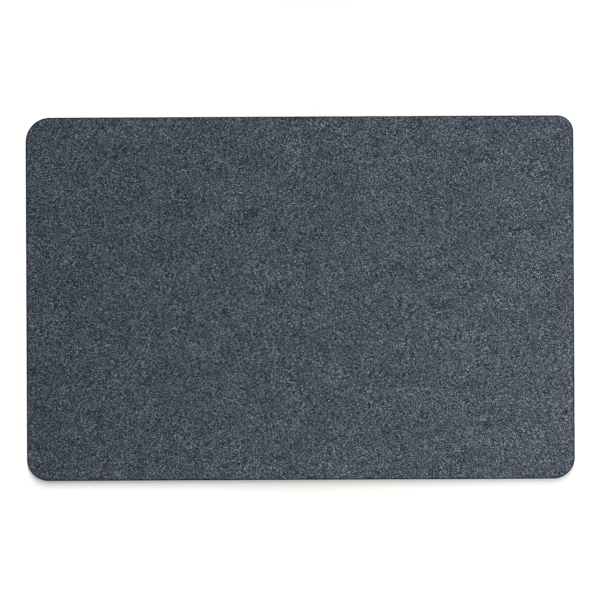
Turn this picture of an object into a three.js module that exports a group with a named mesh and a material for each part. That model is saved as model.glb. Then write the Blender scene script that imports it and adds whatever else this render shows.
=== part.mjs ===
// Desk mat: needle felt laminated to a soft anti-slip backing, then die-cut with rounded corners.
// Millimetres, +Z up. The mat lies flat with its origin under the middle, on the surface it lies on.
// +X runs along the long side, and +Y points away from the person at the desk.
import * as THREE from "three";

// Driving dimensions of the cut outline.
const LENGTH = 600;
const WIDTH = 398;
const RADIUS_NEAR_LEFT = 24;
const RADIUS_NEAR_RIGHT = 24;
const RADIUS_FAR_RIGHT = 18;
const RADIUS_FAR_LEFT = 27;

// Thickness of each layer of the laminate.
const BACKING_THICKNESS = 0.8;
const FILM_THICKNESS = 0.2;
const FELT_THICKNESS = 3;

// Half of the straight steps that each quarter circle is drawn with.
const ARC_STEPS = 12;

const QUARTER_TURN = Math.PI / 2;

// The corners in the order that the outline goes round them, each with the side of the centre it is on.
const CORNERS = [
  { sideX: 1, sideY: -1, radius: RADIUS_NEAR_RIGHT, startAngle: -QUARTER_TURN },
  { sideX: 1, sideY: 1, radius: RADIUS_FAR_RIGHT, startAngle: 0 },
  { sideX: -1, sideY: 1, radius: RADIUS_FAR_LEFT, startAngle: QUARTER_TURN },
  { sideX: -1, sideY: -1, radius: RADIUS_NEAR_LEFT, startAngle: Math.PI },
];

// The layers from the desk upwards. The die cuts them together, so they share one outline.
const LAYERS = [
  {
    name: "anti_slip_backing",
    thickness: BACKING_THICKNESS,
    material: new THREE.MeshStandardMaterial({ color: 0x232527, roughness: 0.85, metalness: 0 }),
  },
  {
    name: "adhesive_film",
    thickness: FILM_THICKNESS,
    material: new THREE.MeshStandardMaterial({ color: 0x9a9c9a, roughness: 0.45, metalness: 0 }),
  },
  {
    name: "felt_top",
    thickness: FELT_THICKNESS,
    material: new THREE.MeshStandardMaterial({ color: 0x4a5158, roughness: 0.95, metalness: 0 }),
  },
];

// A rectangle with a quarter circle at each corner. Each arc is joined to the last by a straight side.
function matOutline() {
  const outline = new THREE.Shape();
  for (const { sideX, sideY, radius, startAngle } of CORNERS) {
    const centreX = sideX * (LENGTH / 2 - radius);
    const centreY = sideY * (WIDTH / 2 - radius);
    outline.absarc(centreX, centreY, radius, startAngle, startAngle + QUARTER_TURN);
  }
  return outline;
}

// One flat sheet of the laminate, with its underside at the given height.
function layerMesh({ name, thickness, material }, outline, height) {
  const geometry = new THREE.ExtrudeGeometry(outline, {
    depth: thickness,
    bevelEnabled: false,
    curveSegments: ARC_STEPS,
  });
  const mesh = new THREE.Mesh(geometry, material);
  mesh.name = name;
  mesh.position.z = height;
  return mesh;
}

// Stacks the layers face to face, from the desk upwards.
function deskMat() {
  const mat = new THREE.Group();
  const outline = matOutline();
  let height = 0;
  for (const layer of LAYERS) {
    mat.add(layerMesh(layer, outline, height));
    height += layer.thickness;
  }
  return mat;
}

export default deskMat();
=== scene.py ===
# Desk mat: needle felt bonded to a soft anti-slip backing, lying flat. Metres, +Z up.
import math

import bpy
import numpy as np
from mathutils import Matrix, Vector
from mathutils.geometry import delaunay_2d_cdt


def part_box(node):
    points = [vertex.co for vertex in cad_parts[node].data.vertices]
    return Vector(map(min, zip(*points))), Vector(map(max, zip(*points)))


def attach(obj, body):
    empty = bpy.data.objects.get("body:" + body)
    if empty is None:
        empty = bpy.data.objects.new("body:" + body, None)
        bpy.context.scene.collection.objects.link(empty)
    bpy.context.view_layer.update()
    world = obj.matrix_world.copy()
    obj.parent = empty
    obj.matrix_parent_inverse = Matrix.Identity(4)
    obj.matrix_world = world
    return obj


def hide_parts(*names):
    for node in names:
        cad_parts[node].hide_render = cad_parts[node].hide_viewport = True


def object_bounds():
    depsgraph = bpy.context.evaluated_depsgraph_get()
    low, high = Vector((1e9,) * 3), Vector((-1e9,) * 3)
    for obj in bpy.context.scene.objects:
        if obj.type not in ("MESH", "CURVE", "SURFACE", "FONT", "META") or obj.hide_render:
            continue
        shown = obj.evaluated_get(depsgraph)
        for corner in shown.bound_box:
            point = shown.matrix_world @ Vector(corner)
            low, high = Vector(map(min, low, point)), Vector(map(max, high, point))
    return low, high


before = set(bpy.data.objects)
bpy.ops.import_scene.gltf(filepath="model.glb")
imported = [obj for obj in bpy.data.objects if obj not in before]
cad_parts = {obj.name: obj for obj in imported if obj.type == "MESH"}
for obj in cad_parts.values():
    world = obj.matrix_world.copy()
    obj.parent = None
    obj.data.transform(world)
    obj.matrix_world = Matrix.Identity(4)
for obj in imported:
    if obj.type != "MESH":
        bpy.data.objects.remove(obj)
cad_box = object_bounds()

MM = 0.001
SEED = 20

FELT, FILM, BACKING = "felt_top", "adhesive_film", "anti_slip_backing"

# Steps along the cut outline, and how near a point must be to a side to count as on it.
EDGE_STEP = 1.6 * MM
THIN_EDGE_STEP = 2 * EDGE_STEP
SIDE_TOUCH = 0.01 * MM

# The cut edge of the felt: its tucked foot, its rows of points as shares of its height, its rounded top,
# the fuzz on its side, and the width of the flat pressed rim, over which painted shade fades in towards
# the cut.
FOOT_TUCK = 0.02 * MM
SIDE_ROWS = (0.2, 0.4, 0.6)
EDGE_ROUND = 0.9 * MM
ROUND_STEPS = 4
EDGE_FUZZ = 0.07 * MM
FUZZ_LENGTH = 0.6 * MM
FUZZ_STRETCH = 4
RIM_WIDTH = 2.4 * MM

# The felt's face: long swells, soft lumps, and raised fibre bundles, which stay clear of the rim.
SWELL_LENGTH, SWELL_HEIGHT = 95 * MM, 0.1 * MM
LUMP_LENGTH, LUMP_HEIGHT = 11 * MM, 0.07 * MM
RIDGES = 5200
RIDGE_STEPS = 5
RIDGE_LENGTH = (3.5 * MM, 8 * MM)
RIDGE_WIDTH = (0.7 * MM, 1.3 * MM)
RIDGE_HEIGHT = (0.04 * MM, 0.13 * MM)
RIDGE_BEND = 0.35
RIDGE_TAPER = 0.8
RIDGE_MARGIN = 0.4 * MM

# The drawn fibres, from the deepest layer to the topmost. Each layer has a cell width, a fibre length and
# a fibre width, in millimetres.
FIBRE_LAYERS = (
    (0.64, 1.1, 0.45),
    (0.55, 0.97, 0.39),
    (0.76, 1.32, 0.39),
    (0.48, 0.85, 0.34),
    (0.69, 1.27, 0.34),
    (0.57, 1.03, 0.34),
    (0.85, 1.52, 0.34),
    (0.55, 0.97, 0.3),
    (0.91, 1.69, 0.34),
    (0.69, 1.32, 0.3),
)

# Cells are this many times longer than wide. Each layer is moved from the last by its shift in millimetres
# and turned by its turn in radians, and its fibres spread over an angle about the cells' own.
CELL_STRETCH = 2.2
LAYER_SHIFT = 137.0
LAYER_TURN = 2.4
FIBRE_SPREAD = 0.9

# How much of a fibre's half width and half length is solid, before it fades out.
FIBRE_CORE = 0.5
FIBRE_BODY = 0.75

# A fibre's small waves: their height in millimetres, and how far they turn in radians for each millimetre.
FIBRE_WAVE = 0.12
FIBRE_WAVE_TURN = 2.2

# The whole pattern drifts sideways by up to half of this, in millimetres.
FIBRE_DRIFT = 12.0

# Down the cut side the fibres lie flatter, so the pattern is this much finer there.
CUT_FINENESS = 1.7

# The tone of the ground under the fibres, and the power that makes pale fibres rarer than dark ones. A
# tone is from 0, the darkest, to 1, the palest.
GROUND_TONE = 0.22
TONE_POWER = 1.6

# Soft paler and darker clumps, by their scale for each millimetre and their depth.
CLUMP_SCALE = 0.03
CLUMP_DEPTH = 0.03

# How fully a fibre's height hides the height under it, the lowest layer's height, and each layer's rise.
FIBRE_COVER = 0.6
LOWEST_LAYER = 0.4
LAYER_RISE = 0.06
FIBRE_RELIEF = 0.35
RELIEF_DEPTH = 0.12 * MM

# The shadow beside a fibre: its depth, then where it starts and its reach, in half widths of the fibre.
# Past the fibre's ends it fades out by this many half lengths from the middle.
FIBRE_SHADOW = 0.35
SHADOW_START = 0.8
SHADOW_REACH = 2.2
SHADOW_END = 1.4

# How much painted shade darkens the pressed rim along the cut, and the share of that on the cut side.
RIM_SHADE = 0.6
SIDE_SHADE = 0.35

# The felt's colour from its darkest fibres to its palest, and its roughness.
FELT_TONES = (
    (0.0, (0.001, 0.003, 0.0057)),
    (0.33, (0.0331, 0.0449, 0.0603)),
    (0.68, (0.172, 0.2026, 0.2426)),
    (1.0, (0.645, 0.701, 0.778)),
)
FELT_ROUGHNESS = (0.98, 0.86)
FELT_SHEEN = 0.05
FELT_SHEEN_ROUGHNESS = 0.6
FELT_SHEEN_TINT = (0.75, 0.84, 0.95, 1)

# The bonding film's squeezed edge, and its milky colour.
FILM_BULGE = 0.06 * MM
FILM_WANDER = 0.05 * MM
FILM_WANDER_LENGTH = 9 * MM
CLOUD_SCALE = 180.0
FILM_TONES = ((0.3, (0.16, 0.17, 0.17)), (0.7, (0.3, 0.31, 0.3)))
FILM_ROUGHNESS = (0.35, 0.55)

# The rubber's lower edge, as insets and heights above the sheet's underside.
LOWER_EDGE = ((0.2 * MM, 0.0), (0.05 * MM, 0.1 * MM), (0.0, 0.25 * MM))

# The raised dots under the backing, on a triangular lattice. Each has a flatter top within its foot.
DOT_PITCH = 7.5 * MM
DOT_RADIUS = 1.5 * MM
DOT_HEIGHT = 0.25 * MM
DOT_SIDES = 6
DOT_TOP_SHARE = 0.55
DOT_CROWN = 0.04 * MM
DOT_MARGIN = 2 * DOT_RADIUS

# The backing's colour, from its darkest to the rubbed tops of its dots, and its grained skin.
BLOOM_SCALE = 45.0
DOT_PALENESS = 0.4
BACKING_TONES = (
    (0.3, (0.013, 0.014, 0.015)),
    (0.6, (0.022, 0.023, 0.025)),
    (1.0, (0.06, 0.062, 0.065)),
)
BACKING_ROUGHNESS = (0.72, 0.92)
GRAIN_SCALE = 2600.0
GRAIN_RELIEF = 0.4
GRAIN_DEPTH = 0.05 * MM

# Most of a noise texture's values lie between these.
NOISE_SPAN = (0.3, 0.7)

# The mesh noise takes its values from a table of this size, by a hash of the cell made with these factors.
NOISE_TABLE = 4096
HASH_FACTORS = (73856093, 19349663, 83492791)

# Two points this near are one point, for the triangles.
MERGE_DISTANCE = 1e-7

# The camera looks straight down on the felt, just off its middle and rolled by a fraction of a degree. The
# mat fills this share of the picture's width.
MAT_SHARE = 0.9136
CAMERA_LENS = 85
CAMERA_SENSOR = 36
CAMERA_ROLL = 0.27
CAMERA_AIM = (-0.2 * MM, -2.0 * MM)

# The room's light on the mat, and how bright the room itself looks.
ROOM_LIGHT = 0.2
BACKDROP_LIGHT = 1.0

# A large warm soft box overhead, which faces past the mat so that the right gets more of its light.
SOFT_BOX_PLACE = (0.8, -0.5, 1.8)
SOFT_BOX_AIM = (2.84, -2.44, 0)
SOFT_BOX_SIZE = (1.2, 1.2)
SOFT_BOX_POWER = 68
SOFT_BOX_COLOUR = (1.0, 0.95, 0.85)

# Panels beyond the far edge: the lowest and highest angle of each, seen from the near edge, and its watts.
PANELS = (("low_panel", 7, 28, 420), ("high_panel", 28, 60, 520))
PANEL_DISTANCE = 4.0
NEAR_EDGE_DISTANCE = 0.2
PANEL_WIDTH = 0.7
PANEL_TURN = 53
WHITE = (1, 1, 1)

# The floor. Its tone is painted darker from left to right over a span of X, a painted shade that evens out
# the stronger light on the right, and its glow changes over a span of distances from the mat's middle.
FLOOR_SIZE = 40
FLOOR_ROUGHNESS = 0.9
FLOOR_SPAN = (-0.3, 0.05)
FLOOR_SHADE_TONES = (0.92, 0.65)
GLOW_SPAN = (0.4, 1.0)
GLOW = (0.23, 0.95)


# ---------------------------------------------------------------- outline


def corner_radii(name):
    """The radius of each corner of a CAD layer, keyed by the sides of the centre that it is on."""
    low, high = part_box(name)
    points = np.array([v.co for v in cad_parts[name].data.vertices])
    radii = {}
    for side_x, edge_x in ((-1, low[0]), (1, high[0])):
        on_side = points[np.abs(points[:, 0] - edge_x) < SIDE_TOUCH]
        radii[side_x, -1] = float(on_side[:, 1].min() - low[1])
        radii[side_x, 1] = float(high[1] - on_side[:, 1].max())
    return radii


def outline(name, step):
    """Points along the cut outline, anticlockwise and about a step apart, and the outward normals."""
    low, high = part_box(name)
    radii = corner_radii(name)
    points, normals = [], []
    for start, (side_x, side_y) in enumerate(((1, 1), (-1, 1), (-1, -1), (1, -1))):
        radius = radii[side_x, side_y]
        centre = np.array(
            [
                high[0] - radius if side_x > 0 else low[0] + radius,
                high[1] - radius if side_y > 0 else low[1] + radius,
            ]
        )
        steps = max(2, round(radius * math.pi / 2 / step))
        for i in range(steps + 1):
            angle = (start + i / steps) * math.pi / 2
            normal = np.array([math.cos(angle), math.sin(angle)])
            if i == 0 and points:
                fill_side(points, normals, centre + radius * normal, normal, step)
            points.append(centre + radius * normal)
            normals.append(normal)
    fill_side(points, normals, points[0], normals[0], step)
    return np.array(points), np.array(normals)


def fill_side(points, normals, end, normal, step):
    """Adds the points of a straight side, between the last point and the end."""
    start = points[-1]
    steps = max(1, round(float(np.linalg.norm(end - start)) / step))
    for i in range(1, steps):
        points.append(start + (end - start) * i / steps)
        normals.append(normal)


def inside(points, name, inset):
    """Which points are inside a layer's outline by at least the inset."""
    low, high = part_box(name)
    radii = corner_radii(name)
    kept = np.ones(len(points), bool)
    for (side_x, side_y), radius in radii.items():
        corner = np.array([high[0] if side_x > 0 else low[0], high[1] if side_y > 0 else low[1]])
        away = (corner - points) * np.array([side_x, side_y])
        kept &= (away > inset).all(axis=1)
        in_corner = (away < radius).all(axis=1)
        kept &= ~in_corner | (np.linalg.norm(radius - away, axis=1) < radius - inset)
    return kept


# ---------------------------------------------------------------- noise


def smooth_noise(points, length, seed):
    """Value noise from -1 to 1 at each row of points, whose blobs are about a length across."""
    cells = np.asarray(points) / length
    base = np.floor(cells).astype(int)
    part = cells - base
    part = part * part * (3 - 2 * part)
    table = np.random.default_rng(seed).uniform(-1, 1, NOISE_TABLE)
    total = np.zeros(len(cells))
    for corner in np.ndindex(*(2,) * cells.shape[1]):
        key = np.zeros(len(cells), int)
        weight = np.ones(len(cells))
        for axis, factor in zip(range(cells.shape[1]), HASH_FACTORS):
            key ^= (base[:, axis] + corner[axis]) * factor
            weight *= part[:, axis] if corner[axis] else 1 - part[:, axis]
        total += table[key % NOISE_TABLE] * weight
    return total


# ---------------------------------------------------------------- meshes


def add_piece(name, vertices, faces, material, node):
    """Makes a closed mesh piece that rides with the mat and stands for a CAD node."""
    mesh = bpy.data.meshes.new(name)
    mesh.from_pydata([tuple(map(float, v)) for v in vertices], [], faces)
    mesh.materials.append(material)
    mesh.polygons.foreach_set("use_smooth", [True] * len(mesh.polygons))
    mesh.update()
    piece = bpy.data.objects.new(name, mesh)
    bpy.context.scene.collection.objects.link(piece)
    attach(piece, "root")
    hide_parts(node)
    return piece


def fill(ring, extra=()):
    """Triangulates a ring of points and extra points in it, as indices of the ring and then the extras."""
    flat = [Vector(p) for p in (*ring, *extra)]
    order = list(range(len(ring)))
    inside_only = 1
    _, _, faces, sources, _, _ = delaunay_2d_cdt(flat, [], [order], inside_only, MERGE_DISTANCE, True)
    return [tuple(sources[i][0] for i in face) for face in faces]


def wall(rings, size):
    """Quads that join each ring of indices to the next, bottom first."""
    faces = []
    for low, high in zip(rings, rings[1:]):
        for i in range(size):
            j = (i + 1) % size
            faces.append((low + i, low + j, high + j, high + i))
    return faces


def ridge_points(rng, name, inset):
    """The points of short curved fibre bundles that lie on the felt, three across, and their heights."""
    low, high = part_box(name)
    middles = rng.uniform((low[0], low[1]), (high[0], high[1]), (RIDGES, 2))
    angle = rng.uniform(0, math.pi, RIDGES)
    length = rng.uniform(*RIDGE_LENGTH, RIDGES)
    width = rng.uniform(*RIDGE_WIDTH, RIDGES)
    height = rng.uniform(*RIDGE_HEIGHT, RIDGES)
    bend = rng.uniform(-RIDGE_BEND, RIDGE_BEND, RIDGES)
    along = np.stack([np.cos(angle), np.sin(angle)], axis=1)
    across = np.stack([-along[:, 1], along[:, 0]], axis=1)
    points, heights = [], []
    for k in range(RIDGE_STEPS):
        u = k / (RIDGE_STEPS - 1) * 2 - 1
        path = (u * length / 2)[:, None] * along + (bend * length * (u * u - 0.5))[:, None] * across
        rise = 1 - u * u * RIDGE_TAPER
        for side in (-1, 0, 1):
            points.append(middles + path + (side * width / 2)[:, None] * across)
            heights.append(height * rise if side == 0 else np.zeros(RIDGES))
    points, heights = np.concatenate(points), np.concatenate(heights)
    kept = inside(points, name, inset)
    return points[kept], heights[kept]


def felt_levels(depth):
    """The rings of the felt's edge, from its foot to the rim, each an inset and a share of the depth."""
    levels = [(FOOT_TUCK, 0.0)]
    levels += [(0.0, share) for share in SIDE_ROWS]
    for i in range(ROUND_STEPS + 1):
        angle = i / ROUND_STEPS * math.pi / 2
        inset = EDGE_ROUND * (1 - math.cos(angle))
        levels.append((inset, 1 - (EDGE_ROUND / depth) * (1 - math.sin(angle))))
    levels.append((RIM_WIDTH, 1.0))
    return levels


def felt_piece(material):
    """The felt: a closed sheet with a softly rounded top edge, a fibrous cut side and a lumpy face.

    It carries two attributes for its material. The rim is how much painted shade darkens each point by the
    cut edge, and unfolded is where the point would be if the side were folded out flat round the face.
    """
    low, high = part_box(FELT)
    edge, normals = outline(FELT, EDGE_STEP)
    size = len(edge)
    depth = high[2] - low[2]
    run = np.arange(size) * EDGE_STEP
    vertices, rings, rim_painted_shade, unfolded = [], [], [], []
    for inset, share in felt_levels(depth):
        z = low[2] + depth * share
        fuzz_place = np.stack([run / FUZZ_STRETCH, np.full(size, z)], axis=1)
        wobble = smooth_noise(fuzz_place, FUZZ_LENGTH, SEED + 1)
        wobble *= EDGE_FUZZ * max(0, 1 - inset / EDGE_ROUND)
        ring = edge - normals * (inset - wobble)[:, None]
        rings.append(len(vertices))
        vertices.extend(np.column_stack([ring, np.full(size, z)]))
        drop = high[2] - z
        # Painted shade: strongest at the cut edge and fading over the rim, with a share of it down the cut
        # side.
        side_shade = (1 - SIDE_SHADE) * min(1, drop / EDGE_ROUND) ** 2
        rim_painted_shade += [(1 - inset / RIM_WIDTH) * (1 - side_shade)] * size
        unfolded.append(edge + normals * (CUT_FINENESS * drop - inset))

    rim_start, face_start = rings[-1], len(vertices)
    rim_ring = np.array(vertices[rim_start:])[:, :2]
    inner, heights = ridge_points(np.random.default_rng(SEED), FELT, RIM_WIDTH + RIDGE_MARGIN)
    surface = SWELL_HEIGHT * smooth_noise(inner, SWELL_LENGTH, SEED + 2)
    surface += LUMP_HEIGHT * smooth_noise(inner, LUMP_LENGTH, SEED + 3)
    vertices.extend(np.column_stack([inner, high[2] + surface + heights]))
    rim_painted_shade += [0] * len(inner)
    unfolded = np.concatenate([*unfolded, inner])

    faces = wall(rings, size)
    for face in fill(rim_ring, inner):
        faces.append(tuple(rim_start + i if i < size else face_start + i - size for i in face))
    faces += [tuple(reversed(face)) for face in fill(edge)]
    piece = add_piece("felt_face", vertices, faces, material, FELT)
    rim = piece.data.attributes.new("rim", "FLOAT", "POINT")
    rim.data.foreach_set("value", rim_painted_shade)
    flat = piece.data.attributes.new("unfolded", "FLOAT_VECTOR", "POINT")
    flat.data.foreach_set("vector", np.column_stack([unfolded, np.zeros(len(unfolded))]).ravel())
    return piece


def film_piece(material):
    """The bonding film: a thin sheet whose squeezed edge wanders a little."""
    low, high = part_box(FILM)
    edge, normals = outline(FILM, THIN_EDGE_STEP)
    size = len(edge)
    run = np.arange(size) * THIN_EDGE_STEP
    wobble = FILM_WANDER * smooth_noise(run[:, None], FILM_WANDER_LENGTH, SEED + 5)
    vertices, rings = [], []
    for share, bulge in ((0, 0), (0.5, FILM_BULGE), (1, 0)):
        ring = edge + normals * (bulge + wobble)[:, None]
        rings.append(len(vertices))
        vertices.extend(np.column_stack([ring, np.full(size, low[2] + (high[2] - low[2]) * share)]))
    faces = wall(rings, size)
    faces += [tuple(rings[-1] + i for i in face) for face in fill(edge)]
    faces += [tuple(reversed(face)) for face in fill(edge)]
    return add_piece("bonding_film", vertices, faces, material, FILM)


def dot_centres(name):
    """The lattice of grip dots that fit inside the outline."""
    low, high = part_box(name)
    row_step = DOT_PITCH * math.sqrt(3) / 2
    columns = math.floor((high[0] - low[0]) / DOT_PITCH / 2) + 1
    rows = math.floor((high[1] - low[1]) / row_step / 2) + 1
    centres = [
        ((i + 0.5 * (j % 2)) * DOT_PITCH, j * row_step)
        for j in range(-rows, rows + 1)
        for i in range(-columns, columns + 1)
    ]
    centres = np.array(centres)
    return centres[inside(centres, name, DOT_MARGIN)]


def dot_points(centres, bottom, under):
    """The points of every grip dot, and their heights: its middle, the ring of its top, and its foot."""
    points, heights = [centres], [np.full(len(centres), bottom)]
    for reach, z in ((DOT_TOP_SHARE, bottom + DOT_CROWN), (1, under)):
        for i in range(DOT_SIDES):
            angle = i / DOT_SIDES * 2 * math.pi
            points.append(centres + DOT_RADIUS * reach * np.array([math.cos(angle), math.sin(angle)]))
            heights.append(np.full(len(centres), z))
    return np.concatenate(points), np.concatenate(heights)


def backing_piece(material):
    """The rubber sheet: a flat sheet whose underside stands on rows of low round dots."""
    low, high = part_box(BACKING)
    edge, normals = outline(BACKING, THIN_EDGE_STEP)
    size = len(edge)
    under = low[2] + DOT_HEIGHT
    levels = [(inset, under + rise) for inset, rise in LOWER_EDGE]
    levels.append((0.0, high[2]))
    vertices, rings = [], []
    for inset, z in levels:
        rings.append(len(vertices))
        vertices.extend(np.column_stack([edge - normals * inset, np.full(size, z)]))
    dots_start = len(vertices)
    dots, heights = dot_points(dot_centres(BACKING), low[2], under)
    vertices.extend(np.column_stack([dots, heights]))
    faces = wall(rings, size)
    for face in fill(edge - normals * levels[0][0], dots):
        faces.append(tuple(reversed([i if i < size else dots_start + i - size for i in face])))
    faces += [tuple(rings[-1] + i for i in face) for face in fill(edge)]
    return add_piece("grip_backing", vertices, faces, material, BACKING)


# ---------------------------------------------------------------- materials


class Tree:
    """A short way to make the nodes of a material or a node group."""

    def __init__(self, node_tree):
        self.nodes, self.links = node_tree.nodes, node_tree.links

    def put(self, socket, value):
        """Links a socket to an input, or sets the input to a value."""
        if isinstance(value, bpy.types.NodeSocket):
            self.links.new(value, socket)
        else:
            socket.default_value = value

    def node(self, kind, settings=None, **inputs):
        """Adds a node. An underscore in an input's name stands for a space."""
        made = self.nodes.new(kind)
        for key, value in (settings or {}).items():
            setattr(made, key, value)
        for key, value in inputs.items():
            self.put(made.inputs[key.replace("_", " ")], value)
        return made

    def operate(self, kind, operation, values):
        made = self.node(kind, {"operation": operation})
        for socket, value in zip(made.inputs, values):
            self.put(socket, value)
        return made.outputs[0]

    def math(self, operation, *values):
        return self.operate("ShaderNodeMath", operation, values)

    def vector(self, operation, *values):
        return self.operate("ShaderNodeVectorMath", operation, values)

    def rotate(self, vector, angle):
        settings = {"rotation_type": "Z_AXIS"}
        return self.node("ShaderNodeVectorRotate", settings, Vector=vector, Angle=angle).outputs[0]

    def attribute(self, name, output):
        return self.node("ShaderNodeAttribute", {"attribute_name": name}).outputs[output]

    def span(self, value, low, high, out_low=0.0, out_high=1.0, smooth=True):
        """Spreads a value from one range to another."""
        made = self.nodes.new("ShaderNodeMapRange")
        made.interpolation_type = "SMOOTHSTEP" if smooth else "LINEAR"
        for socket, x in zip(made.inputs, (value, low, high, out_low, out_high)):
            self.put(socket, x)
        return made.outputs[0]

    def mix(self, factor, a, b):
        return self.node("ShaderNodeMix", {"data_type": "FLOAT"}, Factor=factor, A=a, B=b).outputs[0]

    def ramp(self, value, stops):
        """A colour ramp through stops, each a position and a colour."""
        made = self.nodes.new("ShaderNodeValToRGB")
        elements = made.color_ramp.elements
        while len(elements) < len(stops):
            elements.new(0.5)
        for element, (place, colour) in zip(elements, stops):
            element.position = place
            element.color = (*colour, 1)
        self.put(made.inputs[0], value)
        return made.outputs[0]


def new_material(name):
    """A material, its tree and its shader."""
    material = bpy.data.materials.new(name)
    material.use_nodes = True
    tree = Tree(material.node_tree)
    return material, tree, material.node_tree.nodes["Principled BSDF"]


def fibre_group():
    """A node group that draws one short curved fibre in each cell of a random lattice, in millimetres.

    The cells are long and narrow, and Turn is the way they lie. Shade is how much light reaches what is
    under the fibre, from full light down to the shadow beside it.
    """
    group = bpy.data.node_groups.new("fibres", "ShaderNodeTree")
    face = group.interface
    face.new_socket("Place", in_out="INPUT", socket_type="NodeSocketVector")
    for name in ("Cell", "Length", "Width", "Shift", "Turn"):
        face.new_socket(name, in_out="INPUT", socket_type="NodeSocketFloat")
    for name in ("Mask", "Tone", "Shade"):
        face.new_socket(name, in_out="OUTPUT", socket_type="NodeSocketFloat")
    tree = Tree(group)
    given = tree.nodes.new("NodeGroupInput").outputs
    result = tree.nodes.new("NodeGroupOutput").inputs
    shift = tree.node("ShaderNodeCombineXYZ", X=given["Shift"], Y=given["Shift"]).outputs[0]
    laid = tree.vector("ADD", tree.rotate(given["Place"], given["Turn"]), shift)
    place = tree.vector("MULTIPLY", laid, (1 / CELL_STRETCH, 1, 0))
    cells = tree.node(
        "ShaderNodeTexVoronoi",
        {"voronoi_dimensions": "2D", "feature": "F1"},
        Vector=place,
        Scale=tree.math("DIVIDE", 1.0, given["Cell"]),
        Randomness=1.0,
    )
    chance = tree.node("ShaderNodeSeparateXYZ", Vector=cells.outputs["Color"]).outputs
    away = tree.vector("SUBTRACT", place, cells.outputs["Position"])
    away = tree.vector("MULTIPLY", away, (CELL_STRETCH, 1, 0))
    turn = tree.math("MULTIPLY", tree.math("SUBTRACT", chance[0], 0.5), FIBRE_SPREAD)
    local = tree.node("ShaderNodeSeparateXYZ", Vector=tree.rotate(away, turn)).outputs
    half_length = tree.math("MULTIPLY", given["Length"], 0.5)
    half_width = tree.math("MULTIPLY", given["Width"], 0.5)
    along = tree.math("DIVIDE", local[0], half_length)
    bend = tree.math("MULTIPLY", tree.math("SUBTRACT", chance[2], 0.5), half_length)
    bow = tree.math("MULTIPLY", tree.math("MULTIPLY", along, along), bend)
    wave = tree.math("SINE", tree.math("MULTIPLY", local[0], FIBRE_WAVE_TURN))
    wave = tree.math("MULTIPLY", wave, FIBRE_WAVE)
    off = tree.math("ABSOLUTE", tree.math("ADD", tree.math("SUBTRACT", local[1], bow), wave))
    across = tree.math("DIVIDE", off, half_width)
    along = tree.math("ABSOLUTE", along)
    sides = tree.span(across, FIBRE_CORE, 1.0, 1.0, 0.0)
    ends = tree.span(along, FIBRE_BODY, 1.0, 1.0, 0.0)
    beside = tree.span(across, SHADOW_START, SHADOW_REACH, FIBRE_SHADOW, 0.0)
    shadow = tree.math("MULTIPLY", beside, tree.span(along, 1.0, SHADOW_END, 1.0, 0.0))
    tree.put(result["Mask"], tree.math("MULTIPLY", sides, ends))
    tree.put(result["Tone"], chance[1])
    tree.put(result["Shade"], tree.math("SUBTRACT", 1.0, shadow))
    return group


def felt_material(fibres):
    """Heathered needle felt: a tangle of dark, slate and pale blue-grey fibres that drift in wisps."""
    material, tree, shader = new_material("heathered_felt")
    place = tree.vector("MULTIPLY", tree.attribute("unfolded", "Vector"), (1 / MM, 1 / MM, 0))
    flat = {"noise_dimensions": "2D"}
    clump = tree.node("ShaderNodeTexNoise", flat, Vector=place, Scale=CLUMP_SCALE, Detail=1.0).outputs
    drift = tree.vector("SUBTRACT", clump["Color"], (0.5, 0.5, 0.5))
    drift = tree.vector("MULTIPLY", drift, (FIBRE_DRIFT, FIBRE_DRIFT, 0))
    place = tree.vector("ADD", place, drift)
    tone, height = GROUND_TONE, 0.0
    for i, (cell, length, width) in enumerate(FIBRE_LAYERS):
        drawn = tree.node(
            "ShaderNodeGroup",
            {"node_tree": fibres},
            Place=place,
            Cell=cell,
            Length=length,
            Width=width,
            Shift=LAYER_SHIFT * (i + 1),
            Turn=LAYER_TURN * i,
        ).outputs
        fibre_tone = tree.math("POWER", drawn["Tone"], TONE_POWER)
        shaded = tree.math("MULTIPLY", tone, drawn["Shade"])
        tone = tree.mix(drawn["Mask"], shaded, fibre_tone)
        cover = tree.math("MULTIPLY", drawn["Mask"], FIBRE_COVER)
        height = tree.mix(cover, height, LOWEST_LAYER + LAYER_RISE * i)
    clump_shade = tree.span(clump[0], *NOISE_SPAN, 1 - CLUMP_DEPTH, 1 + CLUMP_DEPTH)
    tone = tree.math("MULTIPLY", tone, clump_shade)
    # Painted shade darkens the rim and, by a share, the cut side.
    rim_shade = tree.span(tree.attribute("rim", "Fac"), 0.0, 1.0, 1.0, 1 - RIM_SHADE)
    tone = tree.math("MULTIPLY", tone, rim_shade)
    bump = tree.node("ShaderNodeBump", Strength=FIBRE_RELIEF, Distance=RELIEF_DEPTH, Height=height)
    tree.put(shader.inputs["Base Color"], tree.ramp(tone, FELT_TONES))
    tree.put(shader.inputs["Roughness"], tree.span(tone, 0.0, 1.0, *FELT_ROUGHNESS, smooth=False))
    tree.put(shader.inputs["Normal"], bump.outputs[0])
    shader.inputs["Specular IOR Level"].default_value = 0.0
    shader.inputs["Sheen Weight"].default_value = FELT_SHEEN
    shader.inputs["Sheen Roughness"].default_value = FELT_SHEEN_ROUGHNESS
    shader.inputs["Sheen Tint"].default_value = FELT_SHEEN_TINT
    return material


def film_material():
    """Milky hot-melt film."""
    material, tree, shader = new_material("hot_melt_film")
    place = tree.node("ShaderNodeTexCoord").outputs["Object"]
    cloud = tree.node("ShaderNodeTexNoise", Vector=place, Scale=CLOUD_SCALE, Detail=3.0).outputs[0]
    tree.put(shader.inputs["Base Color"], tree.ramp(cloud, FILM_TONES))
    tree.put(shader.inputs["Roughness"], tree.span(cloud, *NOISE_SPAN, *FILM_ROUGHNESS))
    return material


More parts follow.
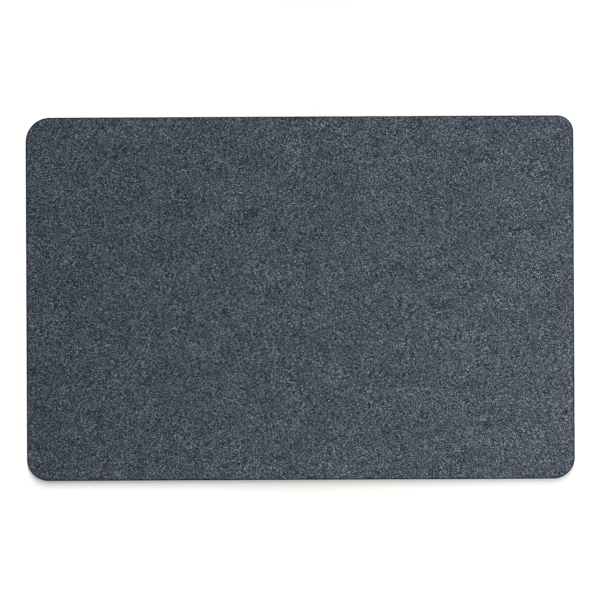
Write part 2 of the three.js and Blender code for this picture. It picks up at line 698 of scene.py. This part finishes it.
def backing_material():
    """Matte near-black rubber with a fine grained skin, rubbed a little paler on the tops of its dots."""
    material, tree, shader = new_material("grip_rubber")
    place = tree.node("ShaderNodeTexCoord").outputs["Object"]
    grain = tree.node("ShaderNodeTexNoise", Vector=place, Scale=GRAIN_SCALE, Detail=4.0).outputs[0]
    bloom = tree.node("ShaderNodeTexNoise", Vector=place, Scale=BLOOM_SCALE, Detail=3.0).outputs[0]
    height = tree.node("ShaderNodeSeparateXYZ", Vector=place).outputs[2]
    tone = tree.math("ADD", bloom, tree.span(height, 0.0, DOT_HEIGHT, DOT_PALENESS, 0.0))
    bump = tree.node("ShaderNodeBump", Strength=GRAIN_RELIEF, Distance=GRAIN_DEPTH, Height=grain)
    tree.put(shader.inputs["Base Color"], tree.ramp(tone, BACKING_TONES))
    tree.put(shader.inputs["Roughness"], tree.span(grain, *NOISE_SPAN, *BACKING_ROUGHNESS))
    tree.put(shader.inputs["Normal"], bump.outputs[0])
    return material


# ---------------------------------------------------------------- stage


def add_floor():
    """A white floor painted darker on the right, where lamps are stronger, which glows where they don't
    reach.
    """
    bpy.ops.mesh.primitive_plane_add(size=FLOOR_SIZE)
    floor = bpy.context.object
    floor.name = "floor"
    material, tree, shader = new_material("white_floor")
    place = tree.node("ShaderNodeTexCoord").outputs["Object"]
    across = tree.node("ShaderNodeSeparateXYZ", Vector=place).outputs[0]
    away = tree.node("ShaderNodeVectorMath", {"operation": "LENGTH"}, Vector=place).outputs["Value"]
    # Painted shade: the floor's tone falls from left to right, against the stronger light on the right.
    tree.put(shader.inputs["Base Color"], tree.span(across, *FLOOR_SPAN, *FLOOR_SHADE_TONES))
    tree.put(shader.inputs["Emission Strength"], tree.span(away, *GLOW_SPAN, *GLOW))
    shader.inputs["Emission Color"].default_value = (*WHITE, 1)
    shader.inputs["Roughness"].default_value = FLOOR_ROUGHNESS
    shader.inputs["Specular IOR Level"].default_value = 0.0
    floor.data.materials.append(material)
    floor.location.z = cad_box[0][2]


def add_area_light(name, place, facing, size, power, colour):
    """A rectangular lamp that the camera can't see, which faces along a direction."""
    light = bpy.data.lights.new(name, "AREA")
    light.shape = "RECTANGLE"
    light.size, light.size_y = size
    light.energy, light.color = power, colour
    lamp = bpy.data.objects.new(name, light)
    lamp.location = place
    lamp.rotation_euler = Vector(facing).to_track_quat("-Z", "Y").to_euler()
    lamp.visible_camera = False
    bpy.context.scene.collection.objects.link(lamp)


def add_room():
    """Dim even light from all round, which looks white to the camera."""
    world = bpy.data.worlds.new("studio")
    bpy.context.scene.world = world
    world.use_nodes = True
    tree = Tree(world.node_tree)
    back = world.node_tree.nodes["Background"]
    back.inputs["Color"].default_value = (*WHITE, 1)
    seen = tree.node("ShaderNodeLightPath").outputs["Is Camera Ray"]
    tree.put(back.inputs["Strength"], tree.mix(seen, ROOM_LIGHT, BACKDROP_LIGHT))


def add_lights():
    """A warm soft box overhead at the near right, and tall panels past the far edge that face right."""
    facing = Vector(SOFT_BOX_AIM) - Vector(SOFT_BOX_PLACE)
    add_area_light("soft_box", SOFT_BOX_PLACE, facing, SOFT_BOX_SIZE, SOFT_BOX_POWER, SOFT_BOX_COLOUR)
    turn = math.radians(PANEL_TURN)
    facing = (math.sin(turn), -math.cos(turn), 0)
    reach = PANEL_DISTANCE + NEAR_EDGE_DISTANCE
    for name, low_angle, high_angle, power in PANELS:
        low = reach * math.tan(math.radians(low_angle))
        high = reach * math.tan(math.radians(high_angle))
        place = (0, PANEL_DISTANCE, (low + high) / 2)
        add_area_light(name, place, facing, (PANEL_WIDTH, high - low), power, WHITE)


def add_camera():
    """Straight above, with the mat's long side level but for a slight turn."""
    low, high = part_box(FELT)
    data = bpy.data.cameras.new("camera")
    data.lens, data.sensor_width = CAMERA_LENS, CAMERA_SENSOR
    camera = bpy.data.objects.new("camera", data)
    view_width = (high[0] - low[0]) / MAT_SHARE
    distance = view_width * CAMERA_LENS / CAMERA_SENSOR
    camera.location = (*CAMERA_AIM, high[2] + distance)
    camera.rotation_euler = (0, 0, -math.radians(CAMERA_ROLL))
    bpy.context.scene.collection.objects.link(camera)
    bpy.context.scene.camera = camera


# ---------------------------------------------------------------- scene


bpy.context.scene.view_settings.view_transform = "Standard"
add_camera()
add_room()
add_lights()
add_floor()

felt = felt_piece(felt_material(fibre_group()))
film = film_piece(film_material())
backing = backing_piece(backing_material())
